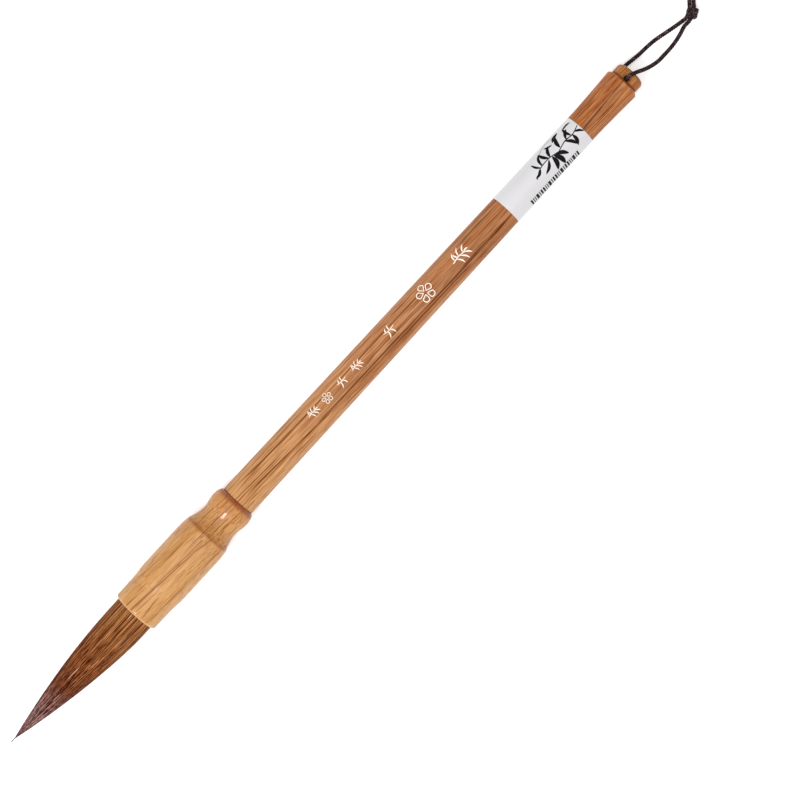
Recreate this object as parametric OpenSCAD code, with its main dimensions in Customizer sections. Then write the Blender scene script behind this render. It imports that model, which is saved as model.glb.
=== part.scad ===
// Large calligraphy brush with a turned wooden handle, a pointed hair tuft and a hanging loop.
//
// Every turned piece is drawn on the brush axis, where a station is the distance in
// millimetres from the tip of the tuft towards the tail. on_axis() then lays the brush
// down on its head and on its cord, with +X running from tip to tail and +Z up.

/* [Overall] */
// Length from the tip of the tuft to the end of the tail plug
overall_len = 275; // [265:1:290]

/* [Tuft] */
// Visible length of the hair in front of the head
hair_len = 53; // [50:1:56]
// Diameter of the hair where it leaves the head
hair_d = 13.1; // [12:0.1:13.5]
// Length over which the hair swells from its point to its full diameter
hair_taper_len = 50; // [46:1:50]
// How full the taper is: 1 is a cone, 2 is an ogive
hair_fullness = 1.76; // [1.4:0.02:2]
// Sideways lean of the tuft, in degrees
hair_lean = 1.2; // [0:0.1:2]
// Diameter of the core bundle as a share of the whole tuft
core_share = 0.68; // [0.55:0.01:0.8]

/* [Head] */
// Station where the head ends and the shaft begins
head_end = 98.8; // [97:0.1:101]
// Diameter of the head's barrel
head_d = 16.1; // [15.8:0.1:17]
// Diameter just behind the rounded lip
mouth_d = 15.25; // [15:0.05:15.8]
// Diameter at the crisp shoulder behind the barrel
shoulder_d = 15.3; // [15:0.1:15.8]
// Smallest diameter, in the cove
cove_d = 12.64; // [12:0.02:13.4]
// Diameter of the bead behind the cove
bead_d = 13.88; // [13.4:0.02:14.4]
// Depth of the socket that holds the hair root
socket_depth = 20; // [18:0.5:22]

/* [Shaft] */
// Diameter of the shaft at the head
shaft_d_front = 11.34; // [11:0.02:12]
// Diameter of the shaft where the tail flare starts
shaft_d_rear = 10.1; // [9.6:0.02:10.6]
// Diameter of the tail flare
flare_d = 11.28; // [10.8:0.02:11.8]
// Diameter of the tenon inside the head
tenon_d = 8; // [7:0.1:9]

/* [Tail plug] */
// Diameter of the button
button_d = 9.4; // [8.6:0.05:9.6]
// Length of the button
button_len = 3.9; // [3.6:0.1:4.4]
// Diameter of the cord hole through the button
cord_hole_d = 1.9; // [1.8:0.05:2]
// Diameter of the spigot glued into the shaft
spigot_d = 5.2; // [4:0.1:6]

/* [Label] */
// Station where the label starts
label_start = 218.5; // [215:0.5:220]
// Length of the label
label_len = 33.2; // [30:0.1:35]
// Thickness of the label
label_t = 0.12; // [0.1:0.01:0.2]

/* [Cord] */
// Diameter of the braided cord
cord_d = 1.3; // [1.2:0.05:1.35]
// Diameter of the knot across the cord
knot_d = 3.8; // [3.4:0.1:4.2]

/* [Hidden] */
$fn = 64;

// Stations along the brush
mouth = hair_len;
barrel_start = mouth + 13;
barrel_end = mouth + 28;
shoulder = head_end - 13.6;
cove = head_end - 8;
bead = head_end - 3.4;
socket_end = mouth + socket_depth;
tenon_start = head_end - 12.5;
tail_end = overall_len;
plug_start = tail_end - button_len;
flare_start = plug_start - 17;
flare_full = plug_start - 1.2;
flare_edge = plug_start - 0.7;
spigot_start = plug_start - 7.5;
cord_station = plug_start + 1.1;
root_butt = mouth + 17;
thread_start = mouth + 11;
thread_end = mouth + 14;

// Radii and small fits
head_r = head_d / 2;
hair_r = hair_d / 2;
socket_r = hair_r + 0.05;
root_r = hair_r - 0.45;
lip_round = 0.95;
groove_r = shaft_d_front / 2 - 0.25;
shaft_end_r = button_d / 2 + 0.1;
button_round = 1.35;
glue_line = 0.05;
thread_pitch = 0.5;
countersink = 0.7;

// The three bends of the tuft: stations of their centres, and the gap each one works in
bend_belly = mouth - 7;
bend_waist = mouth - 24;
bend_tip = mouth - 39;
bend_gap = 0.3;

// The brush rests on its barrel, and at the tail on the cord under the button
cord_clear = 0.05;
tail_axis_z = button_d / 2 + cord_d + cord_clear + 0.01;
rest_tilt = asin((head_r - tail_axis_z) / (cord_station - barrel_end));
hole_x = barrel_end - overall_len / 2 + (cord_station - barrel_end) * cos(rest_tilt);

// Cord route from the knot, under the button, up through the hole, over the button and
// back to the knot: [X from the hole, Y, Z above the table]
cord_route = [
    [27.6, -0.6, 0.90], [26.0, -0.5, 0.70], [23.0, 0.1, 0.66], [20.0, 0.8, 0.66],
    [17.5, 1.4, 0.66], [15.0, 1.9, 0.66], [12.0, 2.2, 0.66], [9.2, 2.4, 0.66],
    [6.3, 2.8, 0.66], [3.8, 3.1, 0.66], [2.2, 2.3, 0.66], [1.1, 1.1, 0.68],
    [0.45, 0.45, 0.95], [0.1, 0.1, 1.5], [0, 0, 2.3], [0, 0, 5.8], [-0.1, 0, 8.6],
    [-0.2, 0, 9.7], [-0.1, 0, 10.55], [0.3, -0.05, 11.3], [0.9, -0.18, 11.78],
    [1.75, -0.45, 11.98], [2.7, -0.8, 11.7], [3.8, -1.25, 10.95], [5.3, -1.9, 9.6],
    [7.4, -2.6, 7.5], [9.6, -3.1, 5.3], [11.8, -3.4, 3.2], [14.2, -3.4, 1.6],
    [16.8, -3.4, 0.8], [19.5, -3.2, 0.66],
    [22.3, -2.7, 0.66], [25.0, -2.0, 0.70], [27.6, -1.9, 0.90]
];

// The knot, and the eye beyond it. The eye leaves the knot at an angle, then bends into line
// with the brush. Its route is [along its middle line, across it, Z above the table].
knot_at = [29.1, -1.2, 1.95];
knot_len = 4.4;
eye_turn = 42.6;
eye_bend_start = 7;
eye_bend_len = 15;
eye_route = [
    [1.9, -0.66, 1.2], [4.0, -0.66, 0.8], [7.0, -0.67, 0.66], [10.0, -0.8, 0.66],
    [13.5, -1.3, 0.66], [17.0, -2.0, 0.66], [20.5, -2.8, 0.66], [24.0, -3.5, 0.66],
    [27.5, -4.1, 0.66], [31.0, -4.5, 0.66], [34.5, -4.7, 0.66], [38.0, -4.6, 0.66],
    [41.0, -4.1, 0.66], [43.5, -3.2, 0.66], [45.4, -1.9, 0.66], [46.2, 0.0, 0.66],
    [45.6, 1.9, 0.66], [43.8, 3.4, 0.66], [41.2, 4.4, 0.66], [38.0, 4.9, 0.66],
    [34.5, 4.9, 0.66], [31.0, 4.6, 0.66], [27.5, 4.1, 0.66], [24.0, 3.4, 0.66],
    [20.5, 2.6, 0.66], [17.0, 1.8, 0.66], [13.5, 1.2, 0.66], [10.0, 0.8, 0.66],
    [7.0, 0.67, 0.66], [4.0, 0.66, 0.8], [1.9, 0.66, 1.2]
];

// Ease from 0 to 1 with level ends
function ease(u) = (1 - cos(180 * u)) / 2;

// Stations from a to b in n steps
function steps(a, b, n) = [for (i = [0:n]) a + (b - a) * i / n];

// Radius of the tuft at a station: an ogive outside the head, drawn in a little inside it
function tuft_r(s) =
    s < hair_taper_len ? hair_r * (1 - pow(1 - s / hair_taper_len, hair_fullness)) :
    s < mouth + 1 ? hair_r :
    s < mouth + 7 ? hair_r - (hair_r - root_r) * ease((s - mouth - 1) / 6) :
    root_r;

// Radius of the turned head at a station behind its lip
function head_outline_r(s) =
    s < mouth + 7 ? mouth_d / 2 :
    s < barrel_start ? mouth_d / 2 + (head_r - mouth_d / 2) * ease((s - mouth - 7) / 6) :
    s < barrel_end ? head_r :
    s < shoulder ? head_r - (head_d - shoulder_d) / 2 * pow((s - barrel_end) / (shoulder - barrel_end), 2) :
    s < cove ? cove_d / 2 + (shoulder_d - cove_d) / 2 * pow((cove - s) / (cove - shoulder), 1.7) :
    s < bead ? cove_d / 2 + (bead_d - cove_d) / 2 * ease((s - cove) / (bead - cove)) :
    groove_r + (bead_d / 2 - groove_r) * sqrt(max(0, 1 - pow((s - bead) / (head_end - bead), 2)));

// Radius of the shaft at a station
function shaft_r(s) =
    s < flare_start
        ? shaft_d_front / 2 + (shaft_d_rear - shaft_d_front) / 2 * (s - head_end) / (flare_start - head_end)
        : shaft_d_rear / 2 + (flare_d - shaft_d_rear) / 2
            * pow(min(1, (s - flare_start) / (flare_full - flare_start)), 1.3);

// Lays the brush axis down in the row frame
module on_axis()
    translate([barrel_end - overall_len / 2, 0, head_r])
        rotate([0, rest_tilt, 0])
            translate([-barrel_end, 0, 0])
                rotate([0, 90, 0])
                    children();

// The free part of the tuft leans a little to one side, about the centre of its first bend
module on_tuft()
    on_axis()
        translate([0, 0, bend_belly])
            rotate([hair_lean, 0, 0])
                translate([0, 0, -bend_belly])
                    children();

module turned(outline)
    rotate_extrude()
        polygon(outline);

module head()
    color("burlywood")
        on_axis()
            difference() {
                turned(concat(
                    [[0, mouth]],
                    [for (a = [0:15:90])
                        [mouth_d / 2 - lip_round * (1 - sin(a)), mouth + lip_round * (1 - cos(a))]],
                    [for (s = steps(mouth + 7, barrel_start, 6)) [head_outline_r(s), s]],
                    [for (s = steps(barrel_end, shoulder, 4)) [head_outline_r(s), s]],
                    [for (s = steps(shoulder + 0.6, cove, 8)) [head_outline_r(s), s]],
                    [for (s = steps(cove + 0.6, bead, 6)) [head_outline_r(s), s]],
                    [for (a = [15:15:90]) let (s = bead + (head_end - bead) * sin(a)) [head_outline_r(s), s]],
                    [[0, head_end]]
                ));
                translate([0, 0, mouth - 1])
                    cylinder(r = socket_r, h = socket_depth + 1);
                translate([0, 0, tenon_start - 0.3])
                    cylinder(d = tenon_d + 2 * glue_line, h = head_end - tenon_start + 1);
            }

module shaft()
    color("peru")
        on_axis()
            difference() {
                turned(concat(
                    [[0, tenon_start], [tenon_d / 2 - 0.4, tenon_start], [tenon_d / 2, tenon_start + 0.4]],
                    [[tenon_d / 2, head_end], [groove_r, head_end], [shaft_r(head_end), head_end + 0.3]],
                    [for (s = steps(flare_start, flare_full, 8)) [shaft_r(s), s]],
                    [[flare_d / 2, flare_edge], [shaft_end_r, plug_start], [0, plug_start]]
                ));
                translate([0, 0, spigot_start - 0.5])
                    cylinder(d = spigot_d + 2 * glue_line, h = plug_start - spigot_start + 1.5);
            }

// The cord hole runs across the button, up and down as the brush lies
module cord_hole()
    translate([0, 0, cord_station])
        rotate([0, 90, 0])
            union() {
                cylinder(d = cord_hole_d, h = button_d + 2, center = true);
                for (side = [0, 180])
                    rotate([side, 0, 0])
                        translate([0, 0, button_d / 2 - countersink])
                            cylinder(d1 = cord_hole_d, d2 = cord_hole_d + 4 * countersink, h = 2 * countersink);
            }

module tail_plug()
    color("sienna")
        on_axis()
            difference() {
                turned(concat(
                    [[0, spigot_start], [spigot_d / 2, spigot_start], [spigot_d / 2, plug_start]],
                    [[button_d / 2 - 0.3, plug_start], [button_d / 2, plug_start + 0.5]],
                    [for (a = [0:15:90])
                        [button_d / 2 - button_round * (1 - cos(a)), tail_end - button_round * (1 - sin(a))]],
                    [[0, tail_end]]
                ));
                cord_hole();
            }

module label_band()
    color("whitesmoke")
        on_axis()
            turned(concat(
                [for (s = [label_start, label_start + label_len]) [shaft_r(s) + label_t, s]],
                [for (s = [label_start + label_len, label_start]) [shaft_r(s), s]]
            ));

// Glue behind the butt of the hair and in the ring around it
module root_glue()
    color("goldenrod")
        on_axis()
            turned([
                [0, root_butt], [root_r, root_butt], [root_r, thread_end], [socket_r, thread_end],
                [socket_r, socket_end], [0, socket_end]
            ]);

// Binding thread wound side by side around the hair root
module root_thread()
    color("ivory")
        on_axis()
            turned(concat(
                [[root_r, thread_end], [root_r, thread_start]],
                [for (s = steps(thread_start, thread_end, 36))
                    [root_r + 0.25 + 0.2 * abs(sin(180 * (s - thread_start) / thread_pitch)), s]]
            ));

// One length of the tuft between the shares k_in and k_out of its radius. Its rear end is
// a ball about the station rear, and its front end is a cup over the next ball at front.
module tuft_length(k_in, k_out, front, rear) {
    ball_r = tuft_r(rear);
    in_r = k_in * ball_r;
    out_r = k_out * ball_r;
    difference() {
        turned(concat(
            [for (s = steps(front, rear, 8)) [k_out * tuft_r(s), s]],
            [for (r = steps(out_r, in_r, 8)) [r, rear + sqrt(max(0, ball_r * ball_r - r * r))]],
            k_in > 0 ? [for (s = steps(rear, front, 8)) [k_in * tuft_r(s), s]] : [[0, front]]
        ));
        translate([0, 0, front])
            sphere(r = tuft_r(front) + bend_gap);
    }
}

// The part of a bundle that is glued into the head
module tuft_root(k_in, k_out)
    difference() {
        turned(concat(
            [for (s = steps(bend_belly, mouth + 7, 7)) [k_out * tuft_r(s), s]],
            [[k_out * root_r, root_butt], [k_in * root_r, root_butt]],
            k_in > 0 ? [for (s = steps(mouth + 7, bend_belly, 7)) [k_in * tuft_r(s), s]] : [[0, bend_belly]]
        ));
        translate([0, 0, bend_belly])
            sphere(r = tuft_r(bend_belly) + bend_gap);
    }

module hair_core_root()
    color("saddlebrown") on_axis() tuft_root(0, core_share);

module hair_mantle_root()
    color("brown") on_axis() tuft_root(core_share, 1);

module hair_core_belly()
    color("saddlebrown") on_tuft() tuft_length(0, core_share, bend_waist, bend_belly);

module hair_mantle_belly()
    color("brown") on_tuft() tuft_length(core_share, 1, bend_waist, bend_belly);

module hair_core_waist()
    color("saddlebrown") on_tuft() tuft_length(0, core_share, bend_tip, bend_waist);

module hair_mantle_waist()
    color("brown") on_tuft() tuft_length(core_share, 1, bend_tip, bend_waist);

// The core hairs alone make the point
module hair_tip()
    color("maroon")
        on_tuft()
            turned(concat(
                [for (s = steps(0, bend_tip, 8)) [tuft_r(s), s]],
                [for (a = [75:-15:0]) [tuft_r(bend_tip) * sin(a), bend_tip + tuft_r(bend_tip) * cos(a)]]
            ));

// Direction of a route at its point i
function route_dir(route, i) =
    let (d = route[min(i + 1, len(route) - 1)] - route[max(i - 1, 0)]) d / norm(d);

// One eight-sided ring of the cord about point i; side is a direction that the route never takes
function cord_ring(route, i, side) =
    let (t = route_dir(route, i), c = cross(t, side), a = c / norm(c), b = cross(t, a))
        [for (k = [0:7]) route[i] + cord_d / 2 * (cos(45 * k + 22.5) * a + sin(45 * k + 22.5) * b)];

// Heading of the eye's middle line at a length from the knot
function eye_heading(along) =
    eye_turn * (1 - min(1, max(0, (along - eye_bend_start) / eye_bend_len)));

// A point of that line
function eye_line(along) =
    let (
        heading = eye_heading(along),
        radius = eye_bend_len / (eye_turn * PI / 180),
        straight = min(along, eye_bend_start) * [cos(eye_turn), sin(eye_turn)],
        bend = radius * [sin(eye_turn) - sin(heading), cos(heading) - cos(eye_turn)],
        tail = max(0, along - eye_bend_start - eye_bend_len) * [1, 0]
    ) straight + bend + tail;

// The eye's route from the knot as points
function eye_points() = [for (p = eye_route)
    let (
        heading = eye_heading(p.x),
        at = eye_line(p.x) + p.y * [-sin(heading), cos(heading)]
    ) [at.x, at.y, p.z]];

// A cord swept along a route as one closed solid
module cord_tube(route, side) {
    n = len(route);
    rings = [for (i = [0:n - 1]) each cord_ring(route, i, side)];
    sides = [for (i = [0:n - 2]) for (k = [0:7])
        each [[8 * i + k, 8 * i + (k + 1) % 8, 8 * i + 8 + (k + 1) % 8],
              [8 * i + k, 8 * i + 8 + (k + 1) % 8, 8 * i + 8 + k]]];
    polyhedron(rings, concat(
        [[for (k = [7:-1:0]) k]],
        sides,
        [[for (k = [0:7]) 8 * (n - 1) + k]]
    ));
}

module hanging_cord()
    color("black")
        translate([hole_x, 0, 0])
            cord_tube(cord_route, [0, 1, 0]);

module hanging_eye()
    color("black")
        translate([hole_x + knot_at.x, knot_at.y, 0])
            cord_tube(eye_points(), [0, 0, 1]);

// The overhand knot, drawn as one rounded solid
module cord_knot()
    color("dimgray")
        translate([hole_x, 0, 0])
            translate(knot_at)
                rotate([0, 90, eye_turn / 2])
                    turned([for (a = [0:15:180]) [knot_d / 2 * sin(a), -knot_len / 2 * cos(a)]]);

shaft();
head();
tail_plug();
label_band();
root_glue();
root_thread();
hair_core_root();
hair_mantle_root();
hair_core_belly();
hair_mantle_belly();
hair_core_waist();
hair_mantle_waist();
hair_tip();
hanging_cord();
hanging_eye();
cord_knot();
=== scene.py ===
"""Looks of the calligraphy brush: wood, hair, braided cord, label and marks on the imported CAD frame."""

import math

import bpy
import numpy as np
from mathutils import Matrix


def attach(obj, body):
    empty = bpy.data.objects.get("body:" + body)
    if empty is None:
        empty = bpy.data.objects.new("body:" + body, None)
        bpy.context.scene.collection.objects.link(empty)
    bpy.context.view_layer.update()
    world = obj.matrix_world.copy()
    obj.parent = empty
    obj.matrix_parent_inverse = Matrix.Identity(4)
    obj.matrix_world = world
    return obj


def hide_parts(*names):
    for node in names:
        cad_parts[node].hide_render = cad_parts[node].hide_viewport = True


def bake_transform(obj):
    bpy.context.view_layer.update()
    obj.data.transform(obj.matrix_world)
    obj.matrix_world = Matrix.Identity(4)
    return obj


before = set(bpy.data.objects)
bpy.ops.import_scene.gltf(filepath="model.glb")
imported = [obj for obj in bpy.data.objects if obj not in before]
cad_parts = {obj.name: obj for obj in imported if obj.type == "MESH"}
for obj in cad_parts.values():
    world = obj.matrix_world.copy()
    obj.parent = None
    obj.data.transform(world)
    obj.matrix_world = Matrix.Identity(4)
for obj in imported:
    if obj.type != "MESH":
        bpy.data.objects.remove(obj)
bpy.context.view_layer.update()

MM = 0.001

# The brush axis, as in the CAD source. A station is a distance in mm from the tip of the tuft.
OVERALL = 275.0
MOUTH = 53.0
BARREL_END = 81.0
SHOULDER = 85.2
HEAD_END = 98.8
HEAD_R = 8.05
TILT_SIN = 0.010408
TILT_COS = math.sqrt(1 - TILT_SIN**2)
CORD_STATION = 272.2
HOLE_X = BARREL_END - OVERALL / 2 + (CORD_STATION - BARREL_END) * TILT_COS
FLARE_START = 254.1
PLUG_START = 271.1
LABEL_T = 0.12
SHAFT_FRONT_R = 5.67
SHAFT_TAPER = 0.62

# The tuft
HAIR_R = 6.55
ROOT_R = 6.1
TAPER = 50.0
FULLNESS = 1.76
LEAN = math.radians(1.2)
BELLY = 46.0


def row_points(station, across, up):
    """Points in the row frame, in metres, from stations and offsets from the brush axis in mm."""
    station, across, up = np.broadcast_arrays(station, across, up)
    along = station - BARREL_END
    x = BARREL_END - OVERALL / 2 + along * TILT_COS + up * TILT_SIN
    z = HEAD_R - along * TILT_SIN + up * TILT_COS
    return np.stack([x, across, z], -1) * MM


def shaft_r(station):
    """Radius of the shaft in mm."""
    part = (station - HEAD_END) / (FLARE_START - HEAD_END)
    return SHAFT_FRONT_R - SHAFT_TAPER * part


def tuft_r(station):
    """Radius of the tuft in mm: an ogive outside the head, drawn in a little inside it."""
    s = np.asarray(station, float)
    ogive = HAIR_R * (1 - np.clip(1 - s / TAPER, 0, 1) ** FULLNESS)
    inside = np.clip((s - MOUTH - 1) / 6, 0, 1)
    return ogive - (HAIR_R - ROOT_R) * (1 - np.cos(np.pi * inside)) / 2


# ---------------------------------------------------------------- meshes


def new_object(name, points, faces):
    """A smooth mesh object from points in metres and a list of faces."""
    mesh = bpy.data.meshes.new(name)
    mesh.from_pydata(np.asarray(points).tolist(), [], [list(f) for f in faces])
    mesh.update()
    mesh.polygons.foreach_set("use_smooth", [True] * len(mesh.polygons))
    obj = bpy.data.objects.new(name, mesh)
    bpy.context.scene.collection.objects.link(obj)
    return obj


def grid_faces(rings, sides, closed=True):
    """Quads between rings of points that lie one after another."""
    k = np.arange(sides if closed else sides - 1)
    following = (k + 1) % sides
    start = sides * np.arange(rings - 1)[:, None]
    quads = [start + k, start + following, start + sides + following, start + sides + k]
    return np.stack(quads, -1).reshape(-1, 4)


def joined(parts):
    """Several meshes as one. A part is its points, its faces and any arrays with a value for each point."""
    first = 0
    faces = []
    for points, part_faces, *_ in parts:
        faces.append(part_faces + first)
        first += len(points)
    values = [np.concatenate(each) for each in zip(*[part[2:] for part in parts])]
    return (np.vstack([part[0] for part in parts]), np.vstack(faces), *values)


def set_attribute(obj, name, values):
    """One number for each point, for a material to read."""
    attribute = obj.data.attributes.new(name, "FLOAT", "POINT")
    attribute.data.foreach_set("value", np.asarray(values, np.float32).ravel())


def smooth_path(points, step):
    """A Catmull-Rom curve through the points, sampled at even steps."""
    p = np.asarray(points, float)
    p = np.vstack([2 * p[0] - p[1], p, 2 * p[-1] - p[-2]])
    t = np.linspace(0, 1, 24, endpoint=False)[:, None]
    parts = []
    for a, b, c, d in zip(p[:-3], p[1:-2], p[2:-1], p[3:]):
        parts.append(
            0.5 * (2 * b + (c - a) * t + (2 * a - 5 * b + 4 * c - d) * t**2 + (3 * b - a - 3 * c + d) * t**3)
        )
    dense = np.vstack(parts + [p[-2:-1]])
    at = np.concatenate([[0], np.cumsum(np.linalg.norm(np.diff(dense, axis=0), axis=1))])
    even = np.linspace(0, at[-1], max(2, int(round(at[-1] / step)) + 1))
    return np.stack([np.interp(even, at, dense[:, k]) for k in range(3)], -1), at[-1]


def path_frames(path):
    """Two side directions at each point of a path that turn as little as possible along it."""
    tangent = np.gradient(path, axis=0)
    tangent /= np.linalg.norm(tangent, axis=1)[:, None]
    side = np.cross(tangent[0], [0.31, 0.87, 0.38])
    sides = []
    for t in tangent:
        side = side - np.dot(side, t) * t
        side = side / np.linalg.norm(side)
        sides.append(side)
    sides = np.array(sides)
    return sides, np.cross(tangent, sides)


def tube(path, radius, sides):
    """Rings of points around a path."""
    u, v = path_frames(path)
    turn = 2 * np.pi * np.arange(sides) / sides
    ring = u[:, None] * np.cos(turn)[:, None] + v[:, None] * np.sin(turn)[:, None]
    return path[:, None] + ring * np.broadcast_to(radius, len(path))[:, None, None]


# ---------------------------------------------------------------- camera

CAMERA_AT = (0.0170, -0.01542, 0.758)
CAMERA_TURN = math.radians(-47.36)
SENSOR_MM = 36
LENS_MM = 111.6


def make_camera():
    """Straight above the brush, as far off as in a studio, turned so that the tail points up and right."""
    camera = bpy.data.objects.new("camera", bpy.data.cameras.new("camera"))
    camera.data.sensor_width = SENSOR_MM
    camera.data.lens = LENS_MM
    camera.data.clip_start = 0.01
    camera.location = CAMERA_AT
    camera.rotation_euler = (0, 0, CAMERA_TURN)
    bpy.context.scene.collection.objects.link(camera)
    bpy.context.scene.camera = camera


# ---------------------------------------------------------------- cord

CORD_D = 1.3
KNOT_AT = np.array([29.1, -1.2, 1.95])
KNOT_LEN = 1.20
KNOT_SHIFT = 0.45
KNOT_BRAID_D = CORD_D * 1.06
EYE_TURN = math.radians(42.6)
EYE_BEND_START = 7.0
EYE_BEND_LEN = 15.0
# In mm from the hole, as in the CAD source: the under strand from the knot to the hole, up through the hole,
# and the upper strand back to the knot
CORD_ROUTE = [
    [27.6, -0.6, 0.90], [26.0, -0.5, 0.70], [23.0, 0.1, 0.66], [20.0, 0.8, 0.66],
    [17.5, 1.4, 0.66], [15.0, 1.9, 0.66], [12.0, 2.2, 0.66], [9.2, 2.4, 0.66],
    [6.3, 2.8, 0.66], [3.8, 3.1, 0.66], [2.2, 2.3, 0.66], [1.1, 1.1, 0.68],
    [0.45, 0.45, 0.95], [0.1, 0.1, 1.5], [0, 0, 2.3], [0, 0, 5.8], [-0.1, 0, 8.6],
    [-0.2, 0, 9.7], [-0.1, 0, 10.55], [0.3, -0.05, 11.3], [0.9, -0.18, 11.78],
    [1.75, -0.45, 11.98], [2.7, -0.8, 11.7], [3.8, -1.25, 10.95], [5.3, -1.9, 9.6],
    [7.4, -2.6, 7.5], [9.6, -3.1, 5.3], [11.8, -3.4, 3.2], [14.2, -3.4, 1.6],
    [16.8, -3.4, 0.8], [19.5, -3.2, 0.66], [22.3, -2.7, 0.66], [25.0, -2.0, 0.70], [27.6, -1.9, 0.90],
]
# Along the eye's middle line, across it and up, in mm from the knot
EYE_ROUTE = [
    [1.9, -0.66, 1.2], [4.0, -0.66, 0.8], [7.0, -0.67, 0.66], [10.0, -0.8, 0.66],
    [13.5, -1.3, 0.66], [17.0, -2.0, 0.66], [20.5, -2.8, 0.66], [24.0, -3.5, 0.66],
    [27.5, -4.1, 0.66], [31.0, -4.5, 0.66], [34.5, -4.7, 0.66], [38.0, -4.6, 0.66],
    [41.0, -4.1, 0.66], [43.5, -3.2, 0.66], [45.4, -1.9, 0.66], [46.2, 0.0, 0.66],
    [45.6, 1.9, 0.66], [43.8, 3.4, 0.66], [41.2, 4.4, 0.66], [38.0, 4.9, 0.66],
    [34.5, 4.9, 0.66], [31.0, 4.6, 0.66], [27.5, 4.1, 0.66], [24.0, 3.4, 0.66],
    [20.5, 2.6, 0.66], [17.0, 1.8, 0.66], [13.5, 1.2, 0.66], [10.0, 0.8, 0.66],
    [7.0, 0.67, 0.66], [4.0, 0.66, 0.8], [1.9, 0.66, 1.2],
]
HOLE_MIDDLE = 15
CORD_STEP = 0.2
BRAID_PITCH = 3.3
BRAID_STRANDS = 8
STRAND_SIDES = 5
# A strand's radius as a share of the cord's diameter; its height, width and inset as shares of its radius
STRAND_SHARE = 0.185
STRAND_HIGH = 0.95
STRAND_WIDE = 1.28
STRAND_INSET = 0.93


def eye_points():
    """The eye's route from the knot: it leaves at an angle, then bends into line with the brush."""
    points = []
    for along, across, up in EYE_ROUTE:
        heading = EYE_TURN * (1 - min(1, max(0, (along - EYE_BEND_START) / EYE_BEND_LEN)))
        radius = EYE_BEND_LEN / EYE_TURN
        straight = min(along, EYE_BEND_START)
        tail = max(0, along - EYE_BEND_START - EYE_BEND_LEN)
        x = straight * math.cos(EYE_TURN) + radius * (math.sin(EYE_TURN) - math.sin(heading)) + tail
        y = straight * math.sin(EYE_TURN) + radius * (math.cos(heading) - math.cos(EYE_TURN))
        x += KNOT_AT[0] - across * math.sin(heading)
        y += KNOT_AT[1] + across * math.cos(heading)
        points.append([x, y, up])
    return np.array(points)


def cord_path():
    """The open line from the hole over the button, round the eye and back under it, and its length."""
    route = np.array(CORD_ROUTE)
    points = np.vstack([route[HOLE_MIDDLE:], eye_points(), route[: HOLE_MIDDLE + 1]])
    points[:, 0] += HOLE_X
    return smooth_path(points, CORD_STEP)


def strand(path, side_ways, wound, k, diameter):
    """One strand of a braid: flat rings that wind to one side and cross over and under the others."""
    u, v = side_ways
    strand_r = STRAND_SHARE * diameter
    mean_r = diameter / 2 - strand_r * STRAND_INSET
    way = 1 if k % 2 else -1
    angle = 2 * np.pi * (k // 2) / (BRAID_STRANDS / 2) + way * wound
    over = np.cos(4 * wound + k * np.pi)
    out = u * np.cos(angle)[:, None] + v * np.sin(angle)[:, None]
    across = -u * np.sin(angle)[:, None] + v * np.cos(angle)[:, None]
    centre = path + out * (mean_r + 0.10 * strand_r * over)[:, None]
    turn = 2 * np.pi * np.arange(STRAND_SIDES) / STRAND_SIDES
    ring = out[:, None] * (STRAND_HIGH * strand_r * np.cos(turn))[:, None]
    ring = ring + across[:, None] * (STRAND_WIDE * strand_r * np.sin(turn))[:, None]
    # Painted highlight and shade: each strand is paler on its outer crown and where it crosses over, darker
    # on its sides and where it dips under
    tone = 0.28 + 0.22 * over[:, None] + 0.40 * (0.5 + 0.5 * np.cos(turn))
    return (centre[:, None] + ring).reshape(-1, 3), grid_faces(len(path), STRAND_SIDES), tone.ravel()


def braid(path, step, diameter):
    """Round braid around a path: its points, faces and tone, with a core that fills it. The core is near
    black, painted shade between the strands.
    """
    side_ways = path_frames(path)
    wound = 2 * np.pi * step * np.arange(len(path)) / BRAID_PITCH
    rng = np.random.default_rng(5)
    parts = []
    for k in range(BRAID_STRANDS):
        points, faces, tone = strand(path, side_ways, wound, k, diameter)
        parts.append((points, faces, tone + rng.uniform(-0.12, 0.12)))
    core_sides = 8
    core_r = 0.70 * (diameter / 2 - STRAND_SHARE * diameter * STRAND_INSET)
    core = tube(path, core_r, core_sides).reshape(-1, 3)
    # the core's tone of 0 is painted shade seen between the strands
    parts.append((core, grid_faces(len(path), core_sides), np.zeros(len(core))))
    return joined(parts)


def make_cord(material):
    """The hanging cord, and its knot as a separate piece."""
    path, length = cord_path()
    points, faces, tone = braid(path, CORD_STEP, CORD_D)
    cord = new_object("braided_cord", points * MM, faces)
    set_attribute(cord, "tone", tone)
    cord.data.materials.append(material)
    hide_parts("hanging_cord", "hanging_eye")
    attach(cord, "hanging_loop")
    knot = make_knot(material)


def knot_axes():
    """Along the doubled cord that leaves the knot, up, and across both."""
    along = np.array([math.cos(EYE_TURN / 2), math.sin(EYE_TURN / 2), 0])
    up = np.array([0, 0, 1.0])
    return along, up, np.cross(up, along)


def knot_route():
    """An overhand knot pulled tight: its turns cross over and under each other around the doubled strands."""
    along, up, across = knot_axes()
    wind = np.linspace(0, 4 * np.pi, 72)
    lay = KNOT_LEN * np.sin(1.5 * wind + 0.6)
    radius = 1.22 + 0.12 * np.cos(1.5 * wind + 0.6) - 0.30 * (lay / KNOT_LEN) ** 2
    return (
        KNOT_AT
        + along * (KNOT_SHIFT + lay)[:, None]
        + across * (radius * np.cos(wind))[:, None]
        + up * (0.95 * radius * np.sin(wind))[:, None]
    )


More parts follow.
